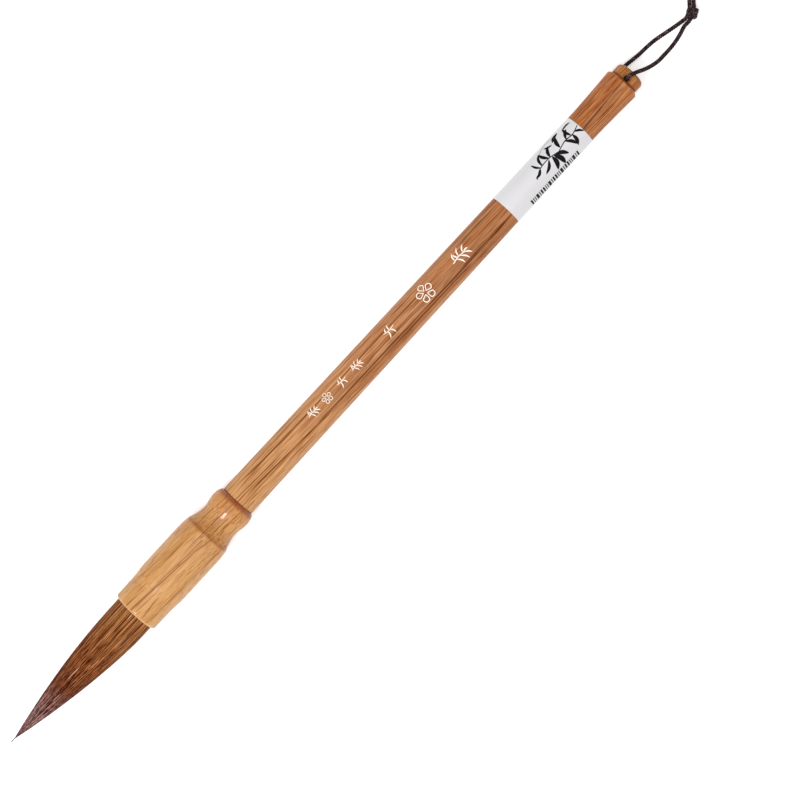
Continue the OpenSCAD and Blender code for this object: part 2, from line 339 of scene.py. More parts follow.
def knot_filling():
    """A ball inside the knot, where its turns press together."""
    rings = 12
    sides = 20
    along, up, across = knot_axes()
    centre = KNOT_AT + KNOT_SHIFT * along + np.array([HOLE_X, 0, 0])
    lean = np.linspace(0.15, np.pi - 0.15, rings)[:, None, None]
    turn = (2 * np.pi * np.arange(sides) / sides)[None, :, None]
    points = centre - along * 1.60 * np.cos(lean)
    points = points + 1.55 * np.sin(lean) * (across * np.cos(turn) + 0.92 * up * np.sin(turn))
    # its darker tone is painted shade where the turns press together
    return points.reshape(-1, 3), grid_faces(rings, sides), np.full(rings * sides, 0.3)


def make_knot(material):
    """The overhand knot, as turns of the same braid."""
    route = knot_route()
    route[:, 0] += HOLE_X
    path, _ = smooth_path(route, CORD_STEP / 2)
    points, faces, tone = joined([braid(path, CORD_STEP / 2, KNOT_BRAID_D), knot_filling()])
    knot = new_object("cord_knot_wraps", points * MM, faces)
    set_attribute(knot, "tone", tone)
    knot.data.materials.append(material)
    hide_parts("cord_knot")
    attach(knot, "hanging_loop")
    return knot


# ---------------------------------------------------------------- node helpers


class Shader:
    """Small helper that adds and joins the nodes of one material."""

    def __init__(self, name):
        self.material = bpy.data.materials.new(name)
        self.material.use_nodes = True
        self.tree = self.material.node_tree
        self.tree.nodes.clear()
        self.output = self.tree.nodes.new("ShaderNodeOutputMaterial")

    def node(self, kind, settings=None, **inputs):
        n = self.tree.nodes.new("ShaderNode" + kind)
        for key, value in (settings or {}).items():
            setattr(n, key, value)
        for key, value in inputs.items():
            self.feed(n.inputs[key.replace("_", " ")], value)
        return n

    def feed(self, socket, value):
        if isinstance(value, bpy.types.NodeSocket):
            self.tree.links.new(value, socket)
        else:
            socket.default_value = value

    def math(self, operation, *values, clamp=False):
        n = self.tree.nodes.new("ShaderNodeMath")
        n.operation = operation
        n.use_clamp = clamp
        for k, value in enumerate(values):
            self.feed(n.inputs[k], value)
        return n.outputs[0]

    def stretched(self, scale, offset=(0, 0, 0), where=None):
        """The object's own coordinates, or others, scaled along each axis and moved."""
        where = where or self.node("TexCoord").outputs["Object"]
        n = self.tree.nodes.new("ShaderNodeMapping")
        self.feed(n.inputs["Vector"], where)
        n.inputs["Scale"].default_value = scale
        n.inputs["Location"].default_value = offset
        return n.outputs[0]

    def noise(self, vector, detail=2.0, roughness=0.5):
        n = self.node("TexNoise", Vector=vector, Scale=1.0, Detail=detail, Roughness=roughness)
        return n.outputs["Fac"]

    def ramp(self, factor, stops):
        n = self.tree.nodes.new("ShaderNodeValToRGB")
        ramp = n.color_ramp
        while len(ramp.elements) < len(stops):
            ramp.elements.new(1.0)
        for element, (at, colour) in zip(ramp.elements, stops):
            element.position = at
            element.color = (*colour, 1)
        self.feed(n.inputs["Fac"], factor)
        return n.outputs["Color"]

    def range(self, value, low, high, to_low=0.0, to_high=1.0, smooth=False):
        n = self.tree.nodes.new("ShaderNodeMapRange")
        n.interpolation_type = "SMOOTHSTEP" if smooth else "LINEAR"
        for k, x in enumerate((value, low, high, to_low, to_high)):
            self.feed(n.inputs[k], x)
        return n.outputs[0]

    def mix(self, factor, a, b):
        n = self.tree.nodes.new("ShaderNodeMix")
        n.data_type = "RGBA"
        self.feed(n.inputs["Factor"], factor)
        self.feed(n.inputs[6], (*a, 1) if isinstance(a, tuple) else a)
        self.feed(n.inputs[7], (*b, 1) if isinstance(b, tuple) else b)
        return n.outputs[2]

    def bump(self, height, strength, distance):
        n = self.node("Bump", Height=height, Strength=strength, Distance=distance)
        return n.outputs[0]

    def finish(self, colour, roughness, normal=None, **more):
        n = self.node("BsdfPrincipled")
        self.feed(n.inputs["Base Color"], (*colour, 1) if isinstance(colour, tuple) else colour)
        self.feed(n.inputs["Roughness"], roughness)
        if normal is not None:
            self.feed(n.inputs["Normal"], normal)
        for key, value in more.items():
            self.feed(n.inputs[key.replace("_", " ")], value)
        self.tree.links.new(n.outputs[0], self.output.inputs["Surface"])
        return self.material


def linear(r, g, b, gain=1.0):
    """A colour from its usual 0 to 255 values, as light."""

    def one(c):
        c = c / 255
        return gain * (c / 12.92 if c <= 0.04045 else ((c + 0.055) / 1.055) ** 2.4)

    return (one(r), one(g), one(b))


def station_x(station):
    """Where a station of the axis is along X, in metres."""
    return (BARREL_END - OVERALL / 2 + (station - BARREL_END) * TILT_COS) * MM


# ---------------------------------------------------------------- wood


def wood(name, tones, seams, turned_lines, pith, rings, seed, slope, strength, coat):
    """Lacquered wood, cut from growth rings about the pith, with streaks and pores along the grain.

    tones runs along the brush: [(station, light, middle, dark)]. slope is how far the grain runs askew, and
    strength is how dark its figure is.
    """
    s = Shader(name)
    x, y, z = s.node("SeparateXYZ", Vector=s.stretched((1, 1, 1))).outputs
    askew = s.math("ADD", y, s.math("MULTIPLY", x, slope))
    grain = s.node("CombineXYZ", X=x, Y=askew, Z=z).outputs[0]

    def along_grain(scale, shift, detail=2.0, roughness=0.6):
        return s.noise(s.stretched(scale, shift, grain), detail=detail, roughness=roughness)

    light, middle, dark = (along_ramp(s, [(row[0], row[k]) for row in tones]) for k in (1, 2, 3))
    bands = along_grain((13, 520, 520), (0, seed, 0))
    colour = s.mix(s.range(bands, 0.34, 0.60), middle, light)
    gleam = s.range(along_grain((60, 2100, 2100), (seed * 5, 0, 0)), 0.54, 0.66, 0.0, 0.65)
    colour = s.mix(gleam, colour, light)
    wander = along_grain((9, 120, 120), (seed, seed * 1.7, 0))
    broken = s.range(along_grain((22, 420, 420), (0, seed * 2, 0)), 0.46, 0.60)
    late = s.math("MULTIPLY", ring_lines(s, askew, z, pith, wander, rings), broken)
    colour = s.mix(s.math("MULTIPLY", late, 0.95 * strength), colour, dark)
    dashes = s.range(along_grain((30, 2700, 2700), (seed, 0, seed)), 0.57, 0.64)
    colour = s.mix(s.math("MULTIPLY", dashes, 0.80 * strength), colour, dark)
    gaps = s.range(along_grain((50, 900, 900), (0, 0, seed * 3)), 0.34, 0.50, 0.35, 1.0)
    seam = s.math("MULTIPLY", seam_lines(s, x, y, wander, seams), gaps)
    colour = s.mix(seam, colour, s.mix(0.38, dark, (0.0, 0.0, 0.0)))
    fibres = along_grain((120, 3800, 3800), (seed, 0, 0), 3.0, 0.65)
    colour = s.mix(s.range(fibres, 0.32, 0.60, 0.58 * strength, 0.0), colour, dark)
    pores = s.range(along_grain((190, 4600, 4600), (0, 0, seed), 1.0), 0.66, 0.73)
    colour = s.mix(s.math("MULTIPLY", pores, 0.60), colour, dark)
    colour = turned(s, x, colour, turned_lines)
    height = s.math("SUBTRACT", s.math("MULTIPLY", fibres, 0.5), s.math("MULTIPLY", pores, 0.8))
    height = s.math("SUBTRACT", height, s.math("MULTIPLY", dashes, 0.3))
    rough = s.range(fibres, 0.3, 0.7, 0.60, 0.46)
    normal = s.bump(height, 0.45, 0.00007)
    return s.finish(colour, rough, normal, Coat_Weight=coat, Coat_Roughness=0.16, Specular_IOR_Level=0.06)


def turned(s, x, colour, lines):
    """Tinted lines around the wood: [(station, width in mm, amount, tint)]."""
    for station, width, amount, tint in lines:
        near = s.math("ABSOLUTE", s.math("SUBTRACT", x, station_x(station)))
        shade = s.range(near, 0.0, width * MM, amount, 0.0, smooth=True)
        colour = s.mix(shade, colour, tint)
    return colour


def ring_lines(s, y, z, pith, wander, rings):
    """The dark late wood of growth rings about the pith, as thin lines that wander."""
    dy = s.math("SUBTRACT", y, pith[0])
    dz = s.math("SUBTRACT", z, pith[1])
    far = s.math("SQRT", s.math("ADD", s.math("MULTIPLY", dy, dy), s.math("MULTIPLY", dz, dz)))
    far = s.math("ADD", far, s.math("MULTIPLY", wander, 0.0075))
    part = s.math("FRACT", s.math("MULTIPLY", far, 1 / rings))
    levels = [(0.0, 0.3), (0.04, 0.0), (0.74, 0.0), (0.87, 0.25), (0.92, 1.0), (0.96, 1.0), (1.0, 0.3)]
    return s.ramp(part, [(at, (level,) * 3) for at, level in levels])


def seam_lines(s, x, y, wander, seams):
    """Single dark layers in the wood: [(station, across, station, across, half width, amount)], in mm."""
    total = 0.0
    for start, across_a, stop, across_b, half, amount in seams:
        middle = s.range(x, station_x(start), station_x(stop), across_a * MM, across_b * MM)
        bent = s.math("ADD", middle, s.math("MULTIPLY", s.math("SUBTRACT", wander, 0.5), 0.0016))
        off = s.math("ABSOLUTE", s.math("SUBTRACT", y, bent))
        line = s.range(off, half * 0.35 * MM, half * MM, amount, 0.0, smooth=True)
        begins = s.range(x, station_x(start - 2), station_x(start + 3))
        ends = s.range(x, station_x(stop - 3), station_x(stop + 2), 1.0, 0.0)
        line = s.math("MULTIPLY", s.math("MULTIPLY", line, begins), ends)
        total = s.math("MAXIMUM", total, line)
    return total


def along_ramp(s, stops):
    """A colour that changes along the brush, from stops at stations."""
    low = stops[0][0]
    high = stops[-1][0]
    x = s.node("SeparateXYZ", Vector=s.node("TexCoord").outputs["Object"]).outputs[0]
    factor = s.range(x, station_x(low), station_x(high))
    return s.ramp(factor, [((at - low) / (high - low), colour) for at, colour in stops])


def tones_at(station, gain, light, middle, dark):
    """The three tones of the wood at a station, all made darker by the same gain."""
    return (station, linear(*light, gain), linear(*middle, gain), linear(*dark, gain))


# Tones along each piece
HEAD_TONES = [
    tones_at(53, 0.72, (228, 174, 114), (214, 156, 93), (150, 84, 6)),
    tones_at(84.6, 0.72, (228, 172, 113), (214, 154, 91), (146, 80, 6)),
    # The darker stop at the shoulder, easing back by the cove, is painted shade where the surface faces the
    # tail, away from the light
    tones_at(85.4, 0.70, (216, 154, 90), (198, 132, 67), (126, 64, 4)),
    tones_at(92, 0.70, (226, 166, 104), (208, 144, 81), (130, 68, 4)),
    tones_at(99, 0.80, (222, 158, 96), (202, 134, 72), (124, 62, 4)),
]
SHAFT_TONES = [
    tones_at(99, 0.75, (226, 172, 118), (206, 146, 90), (140, 74, 6)),
    tones_at(140, 0.78, (222, 166, 118), (198, 134, 82), (126, 62, 6)),
    tones_at(170, 0.81, (216, 158, 112), (188, 122, 72), (118, 54, 6)),
    tones_at(218, 0.72, (212, 146, 95), (182, 108, 57), (110, 45, 5)),
    tones_at(272, 0.88, (210, 144, 92), (180, 106, 54), (110, 44, 5)),
]
PLUG_TONES = [
    tones_at(263, 0.78, (202, 134, 78), (174, 106, 54), (104, 48, 8)),
    tones_at(275, 0.78, (202, 134, 78), (174, 106, 54), (104, 48, 8)),
]

# Dark layers that stand out, and wide faint bands: station and offset across at each end, half width, amount
HEAD_SEAMS = [
    (53.3, 1.6, 76.8, -0.7, 0.21, 0.75), (61.0, 1.1, 80.0, 0.0, 0.16, 0.6),
    (77.4, 1.6, 98.4, 0.4, 0.19, 0.8), (79.0, -0.9, 87.0, -2.4, 0.22, 0.85),
    (87.0, -2.4, 98.4, -3.1, 0.24, 0.95), (66.0, 4.1, 80.0, 3.5, 0.19, 0.75),
    (54.0, -2.7, 61.0, -2.2, 0.22, 0.8), (61.6, -5.1, 73.0, -5.3, 0.19, 0.7),
    (73.4, -5.8, 84.0, -6.3, 0.19, 0.6), (84.7, -1.1, 91.0, -1.4, 0.18, 0.8),
    (57.0, 6.4, 70.0, 5.9, 0.18, 0.5),
]
SHAFT_SEAMS = [
    (98.0, 0.5, 117.0, -0.3, 0.28, 0.95), (104.5, -1.0, 132.0, -2.3, 0.30, 1.0),
    (132.0, -2.2, 216.0, -2.5, 0.42, 0.9), (160.0, -3.0, 200.0, -3.3, 0.40, 0.8),
    (104.5, 3.1, 125.0, 2.2, 0.28, 0.9), (128.5, 2.4, 189.0, 1.8, 0.26, 0.85),
    (99.0, -2.5, 106.0, -3.0, 0.28, 0.7), (171.0, 3.9, 178.0, 3.5, 0.24, 0.8),
    (195.0, -1.8, 218.0, -2.5, 0.28, 1.0), (200.0, 3.2, 216.0, 2.8, 0.26, 0.8),
    (208.0, 0.9, 218.0, 0.6, 0.24, 0.7), (250.0, -0.85, 271.2, 0.25, 0.34, 1.0),
    (252.0, 2.9, 262.0, 2.6, 0.26, 0.8), (256.0, -1.9, 266.0, -2.3, 0.28, 0.85),
    (251.0, 3.6, 268.0, 3.9, 0.24, 0.7), (140.0, -2.9, 218.0, -3.4, 1.50, 0.26),
    (127.0, -0.4, 160.0, -0.7, 1.70, 0.30), (158.0, -1.3, 186.0, -1.4, 1.60, 0.16),
    (183.0, -1.2, 206.0, -1.1, 2.10, 0.34), (203.0, -0.3, 218.0, -0.3, 1.60, 0.16),
    (250.0, -1.1, 271.2, -1.1, 1.80, 0.28),
]
PLUG_SEAMS = [
    (271.0, 2.6, 275.0, 2.4, 0.24, 0.8), (271.0, -0.9, 275.0, -1.1, 0.22, 0.7),
]

# Turned lines: station, width, amount, tint. The russet tint marks the joints and also paints shade: a wide
# band on the bead's rear face and a line at the shoulder, where the surface faces away from the light
RUSSET_JOINT_AND_SHADE = linear(134, 56, 12, 0.86)
# a pale tint that paints a highlight along the lip at the mouth
PAINTED_RIM_HIGHLIGHT = linear(246, 214, 174, 0.80)
HEAD_TURNED_SHADE_AND_HIGHLIGHT = [
    # painted shade on the bead's rear face, over the joint with the shaft
    (HEAD_END - 0.4, 1.9, 0.75, RUSSET_JOINT_AND_SHADE),
    # painted shade at the shoulder
    (SHOULDER + 0.3, 0.9, 0.35, RUSSET_JOINT_AND_SHADE),
    # painted highlight on the lip
    (MOUTH + 0.2, 0.6, 0.3, PAINTED_RIM_HIGHLIGHT),
]
# dark joint lines at the head and the plug, deepened as painted shade of the step beside each
SHAFT_TURNED = [(HEAD_END, 0.6, 0.5, RUSSET_JOINT_AND_SHADE), (PLUG_START, 0.6, 0.6, RUSSET_JOINT_AND_SHADE)]
PLUG_TURNED = [(PLUG_START, 0.9, 0.7, RUSSET_JOINT_AND_SHADE)]

# Of each turned piece: tones, seams, turned lines, then in metres the pith across and up and the ring spacing
WOODS = {
    "head": (HEAD_TONES, HEAD_SEAMS, HEAD_TURNED_SHADE_AND_HIGHLIGHT, (0.030, 0.002), 0.0023),
    "shaft": (SHAFT_TONES, SHAFT_SEAMS, SHAFT_TURNED, (-0.028, 0.012), 0.0021),
    "tail_plug": (PLUG_TONES, PLUG_SEAMS, PLUG_TURNED, (0.020, -0.012), 0.0015),
}


def paint_wood():
    """Materials of the three turned pieces."""
    paint("head", wood("head_wood", *WOODS["head"], seed=3.0, slope=0.075, strength=0.8, coat=0.40))
    paint("shaft", wood("shaft_wood", *WOODS["shaft"], seed=7.0, slope=0.025, strength=1.0, coat=0.12))
    paint("tail_plug", wood("plug_wood", *WOODS["tail_plug"], seed=11.0, slope=0.0, strength=0.8, coat=0.12))


def paint(node, material):
    """Gives a CAD node one material."""
    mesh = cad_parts[node].data
    mesh.materials.clear()
    mesh.materials.append(material)


# ---------------------------------------------------------------- hair

HAIR_COUNT = 1750
POINT_END = -1.0
HAIR_SIDES = 3
BOLD_SHARE = 0.25
HAIR_TONE_MAX = 1.4
STRAY_TONE = 1.45
STRAY_TONE_FULL = 1.65
STRAY_R = 0.075
STRAY_RINGS = 16
STRAY_SIDES = 5
SEAM_REAR = 37.5
SEAM_FRONT = 21.5

# Piece, rear and front station, rings of a hair, the two bodies that it joins, start and end of the blend
HAIR_PIECES = [
    ("hair_rear", 60.0, SEAM_REAR, 13, "handle", "tuft_belly", 53.5, 38.5),
    ("hair_middle", SEAM_REAR, SEAM_FRONT, 10, "tuft_belly", "tuft_waist", 36.0, 22.0),
    ("hair_front", SEAM_FRONT, 0.0, 12, "tuft_waist", "tuft_tip", 21.0, 7.0),
]
HAIR_STANDS_FOR = {
    "hair_rear": ["hair_core_root", "hair_mantle_root", "hair_core_belly", "hair_mantle_belly"],
    "hair_middle": ["hair_core_waist", "hair_mantle_waist"],
    "hair_front": ["hair_tip"],
}

# Pale hairs that lie on the tuft: start and end station, angle about the axis at both in degrees, tone
STRAYS = {
    "hair_rear": [(53.6, 50.6, 89, 90, 1.70), (47.0, 41.5, 119, 118, 1.52)],
    "hair_middle": [(30.4, 24.8, 83, 81, 1.60), (36.6, 31.0, 110, 107, 1.53)],
    "hair_front": [(20.6, 16.8, 100, 98, 1.53)],
}


def lean_points(points):
    """The free part of the tuft leans to one side about the centre of its first bend."""
    pivot = row_points(BELLY, 0, 0)
    d = points - pivot
    free = d[..., 0] < 0
    turned = np.stack(
        [
            pivot[0] + d[..., 0] * math.cos(LEAN) + d[..., 1] * math.sin(LEAN),
            pivot[1] - d[..., 0] * math.sin(LEAN) + d[..., 1] * math.cos(LEAN),
            points[..., 2],
        ],
        -1,
    )
    return np.where(free[..., None], turned, points)


def tuft_points(station, angle, radius):
    """Points of the tuft in metres from stations, angles about the axis and radii in mm."""
    return lean_points(row_points(station, radius * np.cos(angle), radius * np.sin(angle)))


class Hairs:
    """Every hair of the tuft's outside: where it lies and its tone are functions of the station."""

    def __init__(self, count, seed):
        rng = np.random.default_rng(seed)
        self.angle = rng.uniform(0, 2 * np.pi, count)
        share = rng.uniform(0, 1, count)
        share[: count // 40] = 0.0
        self.end = TAPER * (1 - (1 - share) ** (1 / FULLNESS)) * 0.97
        self.depth = rng.uniform(0, 1, count) ** 1.5
        bold = rng.uniform(0, 1, count) < BOLD_SHARE
        self.width = rng.uniform(0.11, 0.17, count) * np.where(bold, 1.6, 1)
        self.tone = rng.normal(0, 1, count) * np.where(bold, 1.5, 1)
        self.drift = rng.normal(0, 0.035, count)
        self.wave = rng.uniform(0, 2 * np.pi, count)
        self.clumps = self.waves(rng, 5, 46, 9)
        self.streaks = self.waves(rng, 50, 130, 14)

    def waves(self, rng, fewest, most, count):
        """Sines around the tuft: how many times each goes round, its phase, how it slides and its size."""
        turns = rng.integers(fewest, most, count)
        return [(n, rng.uniform(0, 2 * np.pi), rng.uniform(-0.9, 0.9), rng.uniform(0.5, 1)) for n in turns]

    def summed(self, waves, angle, station):
        """The waves together, as a value about -1 to 1."""
        total = 0
        weight = 0
        for n, phase, slide, size in waves:
            total = total + size * np.sin(n * angle + phase + slide * station * n / 300)
            weight += size
        return 2.0 * total / weight

    def clump(self, angle, station):
        """How far the bundles of hair stand up."""
        return self.summed(self.clumps, angle, station)

    def streak(self, angle, station):
        """How pale the hair is."""
        return 0.2 * self.clump(angle, station) + self.summed(self.streaks, angle, station)

    def at(self, station):
        """Angle, radius, half width and tone of every hair at its own stations: arrays of hairs by rings."""
        free = np.clip((MOUTH - station) / MOUTH, 0, 1)
        angle = self.angle[:, None] + self.drift[:, None] * free * 3
        angle = angle + 0.012 * np.sin(station * 0.35 + self.wave[:, None])
        full = tuft_r(station)
        bundle = self.clump(angle, station)
        edge = np.clip((MOUTH - station) / 3, 0, 1)
        relief = 0.05 * bundle * edge * np.clip(full / 5, 0.10, 1)
        sunk = 0.10 + 0.30 * self.depth[:, None]
        radius = full + 0.05 - sunk * np.clip(full / 4, 0.25, 1) + relief
        reach = np.clip((station - self.end[:, None]) / 4, 0, 1)
        half = 0.5 * self.width[:, None] * np.clip(reach, 0.12, 1) * np.clip(full / 1.2, 0.6, 1)
        streak = self.streak(angle, station)
        # Hairs that lie deeper are darker: painted shade among the hairs
        tone = 0.40 + 0.28 * self.tone[:, None] + 0.26 * streak - 0.10 * self.depth[:, None]
        return angle, np.maximum(radius, 0.04), half, np.minimum(tone, HAIR_TONE_MAX)


def hair_tubes(hairs, rear, front, rings):
    """The hairs of one length of the tuft as thin tubes: points, faces, tones and stations."""
    lives = hairs.end < rear - 0.8
    stop = np.maximum(front, hairs.end)[lives]
    station = rear + (stop[:, None] - rear) * np.linspace(0, 1, rings)
    every_station = np.full((HAIR_COUNT, rings), rear)
    every_station[lives] = station
    angle, radius, half, tone = (values[lives] for values in hairs.at(every_station))
    turn = 2 * np.pi * (np.arange(HAIR_SIDES) + 0.75) / HAIR_SIDES
    out = half[..., None] * 0.8 * -np.sin(turn)
    side = half[..., None] * np.cos(turn) / radius[..., None]
    points = tuft_points(station[..., None], angle[..., None] + side, radius[..., None] + out)
    first = rings * HAIR_SIDES * np.arange(len(stop))[:, None, None]
    faces = (grid_faces(rings, HAIR_SIDES) + first).reshape(-1, 4)
    return points.reshape(-1, 3), faces, np.repeat(tone, HAIR_SIDES), np.repeat(station, HAIR_SIDES)


def tuft_body(hairs, rear, front):
    """The closed surface under the hairs, so that no gap between them shows through."""
    around = 160
    low = front if front > 0 else POINT_END
    rings = int((rear - low) / 0.75) + 2
    station = np.linspace(rear, low, rings)[:, None]
    angle = (2 * np.pi * np.arange(around) / around)[None]
    full = tuft_r(station)
    edge = np.clip((MOUTH - station) / 3, 0, 1)
    relief = 0.07 * hairs.clump(angle, station) * edge * full / HAIR_R
    radius = full * 0.955 - 0.30 * np.clip(full / 4 - 0.1, 0, 1) + relief
    points = tuft_points(station, angle, np.maximum(radius, 0.17))
    # The body is darker than the hairs on it: painted shade in the gaps between them
    tone = 0.32 + 0.18 * hairs.streak(angle, station)
    return points.reshape(-1, 3), grid_faces(rings, around), tone.ravel(), np.repeat(station, around)


def stray_hairs(name):
    """The stray hairs of one length of the tuft, as thin tubes just above the others."""
    parts = []
    for rear, front, turn_rear, turn_front, tone in STRAYS[name]:
        part = np.linspace(0, 1, STRAY_RINGS)
        station = rear + (front - rear) * part
        angle = np.radians(turn_rear + (turn_front - turn_rear) * part)
        lift = 0.10 + 0.10 * np.sin(np.pi * part)
        path = tuft_points(station, angle, tuft_r(station) + lift)
        radius = STRAY_R * MM * np.clip(1.6 * np.sin(np.pi * part), 0.3, 1)
        points = tube(path, radius, STRAY_SIDES).reshape(-1, 3)
        faces = grid_faces(STRAY_RINGS, STRAY_SIDES)
        parts.append((points, faces, np.full(len(points), tone), np.repeat(station, STRAY_SIDES)))
    return parts


def hair_piece(hairs, name, rear, front, rings, start, end):
    """One length of the tuft, cut at seams."""
    parts = [hair_tubes(hairs, rear, front, rings), tuft_body(hairs, rear, front), *stray_hairs(name)]
    points, faces, tones, stations = joined(parts)
    obj = new_object(name, points, faces)
    set_attribute(obj, "tone", tones)
    set_attribute(obj, "station", stations / MOUTH)
    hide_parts(*HAIR_STANDS_FOR[name])
    tuple(row_points(start, 0, 0))
    tuple(row_points(end, 0, 0))
    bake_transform(obj)
    return obj


# Share of the way from the tip to the head, dark colour, light colour. Near the tip both colours are greyed
# and paled: the hair's own colour with a painted sheen
HAIR_COLOURS_WITH_TIP_SHEEN = [
    # the paler, greyer colours at the tip are painted sheen on the hair
    (0.0, (64, 34, 32), (142, 102, 100)),
    (0.20, (58, 31, 27), (176, 134, 128)),
    (0.42, (52, 11, 1), (142, 83, 52)),
    (0.62, (66, 19, 1), (168, 102, 56)),
    (1.0, (84, 32, 2), (188, 130, 78)),
]


def hair_material():
    """Hair: a dark and a light colour along the tuft, mixed by each hair's tone, with a painted sheen near
    the tip. Strays are paler still.
    """
    s = Shader("hair")
    tone = s.node("Attribute", {"attribute_name": "tone"}).outputs["Fac"]
    place = s.node("Attribute", {"attribute_name": "station"}).outputs["Fac"]
    dark = s.ramp(place, [(at, linear(*colour)) for at, colour, _ in HAIR_COLOURS_WITH_TIP_SHEEN])
    light = s.ramp(place, [(at, linear(*colour)) for at, _, colour in HAIR_COLOURS_WITH_TIP_SHEEN])
    fine = s.noise(s.stretched((120, 5200, 5200)), detail=2.0)
    flecks = s.noise(s.stretched((60, 3900, 3900)), detail=2.0, roughness=0.6)
    level = s.math("ADD", tone, s.range(fine, 0.3, 0.7, -0.14, 0.14))
    level = s.math("ADD", level, s.range(flecks, 0.36, 0.64, -0.54, 0.54), clamp=True)
    colour = s.mix(level, dark, light)
    colour = s.mix(s.range(tone, STRAY_TONE, STRAY_TONE_FULL), colour, linear(226, 184, 160))
    normal = s.bump(fine, 0.25, 0.00005)
    return s.finish(colour, 0.45, normal, Specular_IOR_Level=0.03)


def make_tuft():
    """The three lengths of the tuft and the few stray hairs on it."""
    hairs = Hairs(HAIR_COUNT, 21)
    material = hair_material()
    for name, rear, front, rings, a, b, start, end in HAIR_PIECES:
        obj = hair_piece(hairs, name, rear, front, rings, start, end)
        obj.data.materials.append(material)


# ---------------------------------------------------------------- marks and label

RIBBON_STEP = 0.12
RIBBON_COLUMNS = 4
# How far the marks and the ink stand up, in mm
MARK_LIFT = 0.015
INK_LIFT = 0.012


def ribbon(strokes, radius_at, lift):
    """Thin ribbons on a round surface. A stroke is (points, width, share of the width left at its ends).

    Points are (station, arc) in mm, with the arc from the top of the brush.
    """
    parts = []
    for line, width, ends in strokes:
        flat = np.array([[s, a, 0] for s, a in line], float)
        path, _ = smooth_path(flat, RIBBON_STEP)
        go = np.gradient(path, axis=0)
        go /= np.linalg.norm(go, axis=1)[:, None] + 1e-9
        left = np.stack([-go[:, 1], go[:, 0]], -1)
        swell = width * (ends + (1 - ends) * np.sin(np.pi * np.linspace(0, 1, len(path))) ** 0.8)
        across = np.linspace(-0.5, 0.5, RIBBON_COLUMNS)
        at = path[:, None, :2] + left[:, None] * (swell[:, None] * across)[..., None]
        r = radius_at(at[..., 0]) + lift
        turn = at[..., 1] / r
        points = row_points(at[..., 0], r * np.sin(turn), r * np.cos(turn)).reshape(-1, 3)
        parts.append((points, grid_faces(len(path), RIBBON_COLUMNS, closed=False)))
    return joined(parts)


def leaf(station, arc, length, heading, width):
    """A pointed leaf as one stroke: where it starts, how long it is and which way it points, in degrees."""
    way = math.radians(heading)
    bow = 0.10 * length
    middle = (
        station + 0.5 * length * math.cos(way) - bow * math.sin(way),
        arc + 0.5 * length * math.sin(way) + bow * math.cos(way),
    )
    tip = (station + length * math.cos(way), arc + length * math.sin(way))
    return ([(station, arc), middle, tip], width, 0.12)


def stem(points, width):
    """A stem as one stroke that is nearly as wide at its ends."""
    return (points, width, 0.7)


def placed(strokes, station, arc, size):
    """Strokes of a small drawing put at a place on the surface."""
    moved = []
    for line, width, ends in strokes:
        moved.append(([(station + size * a, arc + size * b) for a, b in line], size * width, ends))
    return moved


def petal(turned_by):
    """One petal of a blossom, as a closed stroke."""
    ends = [(0.10, 0.0), (0.38, -0.42), (0.48, 0.0), (0.38, 0.42), (0.10, 0.0)]
    return ([(far * math.cos(turned_by + w), far * math.sin(turned_by + w)) for far, w in ends], 0.046, 0.8)


# Small drawings about 1 across: a sprig, a blossom and a twig
SPRIG_LEAVES = [
    (-0.34, 0.0, 0.42, 72), (-0.22, 0.0, 0.44, -66), (-0.06, 0.03, 0.46, 62), (0.02, 0.0, 0.48, -58),
    (0.2, 0.02, 0.40, 48), (0.26, -0.02, 0.40, -44), (0.24, 0.0, 0.30, 4), (-0.12, 0.02, 0.30, 108),
]
TWIG_LEAVES = [
    (-0.12, 0.03, 0.52, -112), (0.1, 0.03, 0.46, -70), (0.02, 0.04, 0.42, 76), (-0.3, 0.06, 0.32, 60),
]
SPRIG = [stem([(-0.5, -0.04), (-0.1, 0.03), (0.3, -0.02)], 0.050)]
SPRIG += [leaf(*place, 0.072) for place in SPRIG_LEAVES]
BLOSSOM = [petal(math.radians(18 + 72 * k)) for k in range(5)]
TWIG = [stem([(-0.48, 0.10), (-0.1, 0.02), (0.45, 0.06)], 0.055)]
TWIG += [leaf(*place, 0.085) for place in TWIG_LEAVES]
# Station in mm, arc from the top of the shaft in mm, size in mm, drawing
MARKS = [
    (198.6, 0.7, 6.4, SPRIG),
    (183.4, 0.9, 6.2, BLOSSOM),
    (167.7, 1.1, 4.4, TWIG),
    (153.1, 1.2, 4.0, SPRIG),
    (146.8, 1.2, 3.8, TWIG),
    (140.1, 1.2, 3.6, BLOSSOM),
    (134.0, 1.3, 4.0, SPRIG),
]


def make_marks():
    """Small white ornaments filled into the shaft, in place of the engraved characters."""
    strokes = []
    for station, arc, size, drawing in MARKS:
        strokes += placed(drawing, station, arc, size)
    points, faces = ribbon(strokes, shaft_r, MARK_LIFT)
    obj = new_object("shaft_marks", points, faces)
    s = Shader("mark_white")
    obj.data.materials.append(s.finish(linear(236, 228, 218), 0.6))
    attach(obj, "handle")


def label_r(station):
    """Outer radius of the label in mm."""
    return shaft_r(station) + LABEL_T


# A sprig of bamboo
BAMBOO_STEMS = [
    stem([(231.2, -1.0), (234.0, 0.6), (238.0, 0.9), (242.0, 0.1)], 0.30),
    stem([(242.0, 0.1), (245.5, 0.9), (248.5, 0.6), (251.5, 1.4)], 0.34),
    stem([(235.5, 0.9), (236.5, 3.6), (240.5, 5.6), (244.0, 5.0)], 0.16),
]
